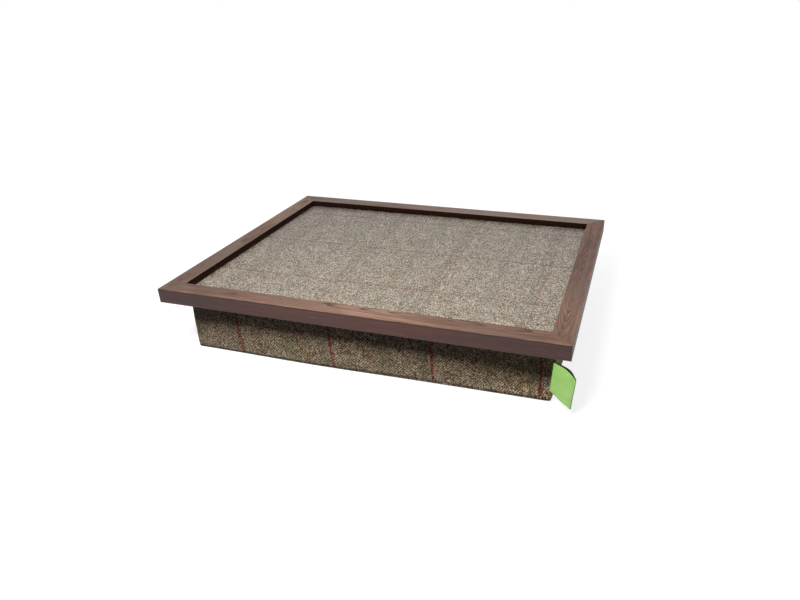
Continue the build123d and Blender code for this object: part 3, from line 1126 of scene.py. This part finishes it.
def build_cover(relaxed, material):
    """The whole cover, as panels that meet at their seams."""
    panels = {
        "front_wall_tweed": ("front", "cover_front_wall"),
        "left_wall_tweed": ("left", "cover_left_wall"),
        "right_wall_tweed": ("right", "cover_right_wall"),
        "top_tweed": ("top", "cover_top_panel"),
        "base_tweed": ("base", "cover_base_panel"),
    }
    for name, (side, node) in panels.items():
        along, up = [seamed_shares(half) for half in spans[side]]
        cover_panel(name, side, along, up, relaxed, material, node)

    # The back wall, in two panels round the zip's slot
    along = seamed_shares(half_length, -slot_half_length, slot_half_length)
    slot_levels = [zip_height + s * slot_half_height - wall_middle for s in (-1, 0, 1)]
    up = seamed_shares(wall_half, *slot_levels)
    middle_x = (along[:-1] + along[1:]) / 2 * half_length
    middle_z = (up[:-1] + up[1:]) / 2 * wall_half + wall_middle
    x, z = pairs(middle_x, middle_z)
    open_slot = (np.abs(x) < slot_half_length) & (np.abs(z - zip_height) < slot_half_height)
    for part, chosen in {"upper": z > zip_height, "lower": z < zip_height}.items():
        kept = chosen & ~open_slot
        name, node = f"back_wall_{part}_tweed", f"cover_back_wall_{part}"
        cover_panel(name, "back", along, up, relaxed, material, node, kept)


def even_grids(step):
    """The cushion's form on even grids of about that step, and the shares they lie at."""
    shares = {side: [even_shares(half, step) for half in spans[side]] for side in outward}
    return shares, {side: cushion_form(side, *shares[side]) for side in outward}


def relax_cushion():
    """The cushion's swelling, by simulation, and the even shares that it lies at."""
    coarse, grids = even_grids(cloth_step)
    moves = swell(grids)
    return moves, coarse


def shrunk_form(inset, wrinkle):
    """The cushion's closed form drawn in on every side, with gentle creases."""
    points, faces, _ = welded(even_grids(liner_step)[1])
    middle = np.array([0, 0, crown_high / 2])
    reach = np.array([half_length, half_depth, crown_high / 2])
    points = middle + (points - middle) * (1 - inset / reach)
    crease = waves(points[:, 0], pucker_lengths[1:], (0.4, 1.9))
    crease = crease + waves(points[:, 1] + points[:, 2], pucker_lengths[1:], (2.2, 0.7))
    outwards = (points - middle) / np.linalg.norm(points - middle, axis=1)[:, None]
    return points + outwards * (wrinkle * crease / 2)[:, None], faces


def build_lining(liner_material, bead_material):
    """The inner bag and the beads that fill it."""
    outer, faces = shrunk_form(liner_inset, liner_wrinkle)
    inner, _ = shrunk_form(liner_inset + liner_thickness, liner_wrinkle)
    both = np.concatenate([faces, faces[:, ::-1] + len(outer)])
    bag = new_mesh("lining_bag", np.concatenate([outer, inner]), both)
    smooth(bag, liner_material)
    dress_sheet(bag, "cushion", "liner_bag")
    filling, faces = shrunk_form(liner_inset + 2 * liner_thickness, liner_wrinkle)
    mass = new_mesh("bead_mass", filling, faces)
    smooth(mass, bead_material)
    dress_piece(mass, "cushion", "bead_filling")


def flat_grid(low, high, step, level):
    """A level grid of points over a rectangle."""
    lines = [np.linspace(a, b, round((b - a) / step) + 1) for a, b in zip(low[:2], high[:2])]
    x, y = pairs(*lines)
    return np.stack([x, y, np.full(x.shape, level)], -1)


def build_panel(material):
    """The tweed that is stretched over the board, just clear of the sheet above it."""
    low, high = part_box("tweed_panel")
    outer = flat_grid(low, high, panel_step, high.z - panel_clearance)
    ripple = waves(outer[..., 0] + outer[..., 1], pucker_lengths, (0.3, 1.1, 2.6))
    outer[..., 2] -= panel_clearance * (0.5 + 0.5 * ripple)
    inner = flat_grid(low, high, panel_step, low.z)
    piece = closed_shell("tray_tweed", outer, inner, weave_places("top", outer), False, material)
    dress_sheet(piece, "tray", "tweed_panel")


def build_tapes(material):
    """The two woven tapes that the zip's teeth are fixed to, which meet past its stops."""
    stop_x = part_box("zip_stops")[1].x
    for part in ("upper", "lower"):
        low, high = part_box(f"zip_tape_{part}")
        edge = low.z if part == "upper" else high.z
        along = np.linspace(low.x, high.x, round((high.x - low.x) / tape_step) + 1)
        x, z = pairs(along, np.linspace(low.z, high.z, tape_rows))
        meeting = tape_meet_share * np.clip(1 + (np.abs(x) - stop_x) / tape_meet_run, 0, 1)
        z = z + (zip_height - edge) * meeting * (1 - np.abs(z - edge) / (high.z - low.z))
        sway = tape_sway * waves(x, pucker_lengths, (0.2, 1.3, 2.1))
        outer = np.stack([x, high.y - tape_sway + sway, z], -1)
        inner = np.stack([x, low.y + tape_sway + sway, z], -1)
        weave = np.stack([x, z], -1)
        piece = closed_shell(f"{part}_zip_tape", outer, inner, weave, True, material)
        dress_sheet(piece, "cushion", f"zip_tape_{part}")


def tube_faces(rings, sides, start):
    """The faces of a closed tube of rings, with flat ends, numbered from start."""
    faces = []
    for ring in range(rings - 1):
        for side in range(sides):
            a = start + ring * sides + side
            b = start + ring * sides + (side + 1) % sides
            faces.append((a, b, b + sides, a + sides))
    faces.append(tuple(start + side for side in reversed(range(sides))))
    faces.append(tuple(start + (rings - 1) * sides + side for side in range(sides)))
    return faces


def tubes(name, paths, radius, sides, material):
    """One mesh of short tubes, each along a few points."""
    points, faces = [], []
    for path in paths:
        path = [Vector(p) for p in path]
        start = len(points)
        line = (path[-1] - path[0]).normalized()
        aside = line.orthogonal().normalized()
        upright = line.cross(aside)
        for centre in path:
            for side in range(sides):
                angle = 2 * math.pi * side / sides
                spoke = math.cos(angle) * aside + math.sin(angle) * upright
                points.append(centre + radius * spoke)
        faces += tube_faces(len(path), sides, start)
    made = new_mesh(name, points, faces)
    smooth(made, material, crease=tube_crease_angle)
    return made


def build_stitches(relaxed, material):
    """The row of stitches round the zip's slot, which holds the tapes to the folded cloth."""
    long_run = slot_half_length + stitch_inset
    short_run = slot_half_height + stitch_inset

    def surface(x, z):
        along = np.array([x / half_length])
        up = np.array([(z - wall_middle) / wall_half])
        return Vector(cover_surface("back", along, up, *relaxed)[0][0, 0])

    runs = []
    for sign in (-1, 1):
        runs.append([(x, zip_height + sign * short_run) for x in (-long_run, long_run)])
        runs.append([(sign * long_run, zip_height + z) for z in (-short_run, short_run)])
    paths = []
    for (x0, z0), (x1, z1) in runs:
        count = round(math.hypot(x1 - x0, z1 - z0) / stitch_pitch)
        for i in range(count):
            path = []
            for place, lift in stitch_line:
                share = (i + 0.5 + place * stitch_share / 2) / count
                point = surface(x0 + (x1 - x0) * share, z0 + (z1 - z0) * share)
                path.append(point + Vector((0, thread_radius * lift, 0)))
            paths.append(path)
    piece = tubes("zip_stitches", paths, thread_radius, thread_sides, material)
    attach(piece, "cushion")


def joined(name, *parts):
    """Several meshes as one object."""
    parts[0].name = name
    with bpy.context.temp_override(active_object=parts[0], selected_editable_objects=parts):
        bpy.ops.object.join()
    return parts[0]


def strip_bands(node, outer_z, inner_z, relief, material):
    """The two flat tapes of a fastener strip, whose outer faces may be raised at random."""
    low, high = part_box(node)
    bands = []
    for near in (low.y, high.y - strip_breadth):
        outer = flat_grid((low.x, near), (high.x, near + strip_breadth), strip_step, outer_z)
        outer[..., 2] += relief * draws.random(outer.shape[:2])
        inner = flat_grid((low.x, near), (high.x, near + strip_breadth), strip_step, inner_z)
        weave = outer[..., :2]
        turned = outer_z < inner_z
        bands.append(closed_shell(f"{node}_band", outer, inner, weave, turned, material))
    return bands


def dress_strips(piece, node, body):
    """Sets a fastener's two tapes, joined as one piece, in place of its CAD node and on its body."""
    dress_sheet(piece, body, node)


def build_strips(hook_material, loop_material):
    """The strips that hold the tray on its cushion: rows of hooks above, matted loops below."""
    low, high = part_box("hook_strips")
    base = high.z - strip_base
    tip = low.z + hook_radius
    hooks = []
    for near in (low.y, high.y - strip_breadth):
        for i, x in enumerate(np.arange(low.x + hook_pitch / 2, high.x, hook_pitch)):
            for j, y in enumerate(np.arange(near + hook_pitch / 2, near + strip_breadth, hook_pitch)):
                lean = hook_lean * (1 if (i + j) % 2 else -1)
                hooks.append([(x, y, base), (x, y, (base + tip) / 2), (x + lean, y, tip)])
    pegs = tubes("hooks", hooks, hook_radius, hook_sides, hook_material)
    bands = strip_bands("hook_strips", base, high.z, 0, hook_material)
    dress_strips(joined("hook_strip_tape", *bands, pegs), "hook_strips", "tray")
    low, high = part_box("loop_strips")
    relief = high.z - low.z - strip_base
    bands = strip_bands("loop_strips", low.z + strip_base, low.z, relief, loop_material)
    dress_strips(joined("loop_strip_tape", *bands), "loop_strips", "cushion")


def label_line(sweep_side):
    """One layer of the label's loop, from its seam to its fold, in the label's own frame."""
    share = np.linspace(0, 1, label_points)
    opened = label_seam_gap_share + (1 - label_seam_gap_share) * np.sin(math.pi * share)
    apart = np.maximum(label_gap * opened, label_fold_radius * 2 * (share > 0.5))
    sweep = 4 * label_sweep * share * (1 - share)
    reach = label_length - label_fold_radius - label_ribbon / 2
    out = -label_hidden + (reach + label_hidden) * share
    return np.stack([out, sweep + sweep_side * apart / 2], 1)


def build_label(outside, inside):
    """The ribbon loop in the corner seam, which curls forwards and droops a little."""
    front, back = label_line(-1), label_line(1)
    angles = np.linspace(-math.pi / 2, math.pi / 2, label_fold_points + 2)[1:-1]
    fold_middle = (front[-1] + back[-1]) / 2
    radius = np.linalg.norm(back[-1] - front[-1]) / 2
    fold = fold_middle + radius * np.stack([np.cos(angles), np.sin(angles)], 1)
    line = np.concatenate([front, fold, back[::-1]])
    tangent = np.gradient(line, axis=0)
    tangent /= np.linalg.norm(tangent, axis=1)[:, None]
    normal = np.stack([tangent[:, 1], -tangent[:, 0]], 1)
    run = np.concatenate([[0], np.cumsum(np.linalg.norm(np.diff(line, axis=0), axis=1))])
    height = np.linspace(-label_height / 2, label_height / 2, label_rows)
    s, z = pairs(run, height)
    wave = label_wave * waves(s + label_wave_slant * z, label_wave_lengths, (0.5, 2.0))
    wave = wave * np.sin(math.pi * s / run[-1])
    turn = Matrix.Rotation(-math.radians(label_turn_angle), 4, "Z")
    droop = Matrix.Rotation(math.radians(label_droop_angle), 4, "Y")
    place = np.array(Matrix.Translation(label_corner) @ turn @ droop)
    layers = []
    share = np.clip(line[:, 0] / label_length, 0, 1)
    bow = 4 * label_sweep * share * (1 - share)
    slack = label_low_sweep_share + (1 - label_low_sweep_share) * (0.5 + height / label_height)
    for side in (1, -1):
        flat = line + side * normal * label_ribbon / 2
        x, _ = pairs(flat[:, 0], height)
        y = flat[:, 1][:, None] + bow[:, None] * (slack - 1)
        points = np.stack([x, y + wave, z, np.ones(x.shape)], -1)
        layers.append((points @ place.T)[..., :3])
    weave = np.stack([s, z], -1)
    piece = closed_shell("side_ribbon", *layers, weave, False, outside, inside)
    flat = (float(run[-1]), label_height)
    dress_sheet(piece, "cushion", "side_label")
    return piece


def light_alone(piece):
    """Lights one thin piece by a twin of the key lamp that nothing else shades.

    Its cloth lets light through, so it stays bright in the shade of what is above it.
    """
    key = bpy.data.objects["key_lamp"]
    twin = key.copy()
    twin.name = "shine_through_lamp"
    bpy.context.scene.collection.objects.link(twin)
    for lamp, state in ((key, "EXCLUDE"), (twin, "INCLUDE")):
        lit = bpy.data.collections.new(f"{lamp.name}_reach")
        lit.objects.link(piece)
        lit.collection_objects[0].light_linking.link_state = state
        lamp.light_linking.receiver_collection = lit
    twin.light_linking.blocker_collection = twin.light_linking.receiver_collection


light_the_stage()
lay_the_floor()
place_camera()

# The cover and the tray's panel are copies of one cloth; each level paints its copy lighter or darker
# for how that copy is lit
wool = tweed("cover_tweed", line_share=1.0, band_share=1.0, contrast=1.0, level=0.93)
panel_wool = tweed("panel_tweed", line_share=0.45, band_share=0.8, contrast=1.5, level=0.83)
for side, looks in rails.items():
    dress(moulding(side, **looks), f"frame_rail_{side}")
dress(clear_plastic(), "clear_cover_sheet")
dress(hardboard(), "backing_board")
steel = worn_metal("steel", srgb(205, 205, 205), srgb(150, 150, 150), 0.35)
dress(steel, "corner_v_nails", "framing_points")
brass = worn_metal("antique_brass", srgb(190, 162, 112), srgb(146, 118, 78), 0.4)
dress(brass, "zip_slider", "zip_pull", "zip_stops")
teeth = moulded_plastic("zip_plastic", srgb(52, 38, 30), srgb(74, 56, 44))
dress(teeth, "zip_teeth_upper", "zip_teeth_lower")

relaxed = relax_cushion()
build_cover(relaxed, wool)
build_lining(felt("lining", srgb(206, 202, 192), srgb(226, 222, 212), 0.0006), beads())
build_panel(panel_wool)
build_tapes(woven_tape("zip_weave", srgb(58, 44, 36), srgb(88, 68, 54), 0.0009))
build_stitches(relaxed, felt("thread", srgb(80, 62, 48), srgb(112, 90, 68), 0.0002))
black_fibre = felt("fastener_fibre", srgb(20, 20, 21), srgb(48, 47, 48), 0.0005)
build_strips(moulded_plastic("hook_plastic", srgb(22, 22, 23), srgb(44, 44, 46)), black_fibre)
label = build_label(
    ribbon("lime_ribbon", srgb(166, 224, 113), srgb(180, 236, 132), 0.85),
    # The loop's inside and rims are painted dark, standing in for the shade between its two layers
    ribbon("ribbon_inside_shade", srgb(24, 29, 20), srgb(38, 46, 28), 0.0),
)
light_alone(label)
for node in ("zip_slider", "zip_pull"):
    weld = cad[node].modifiers.new("weld", "WELD")
    weld.merge_threshold = weld_distance
    bevel = cad[node].modifiers.new("bevel", "BEVEL")
    bevel.width = soft_edge
    bevel.segments = 2
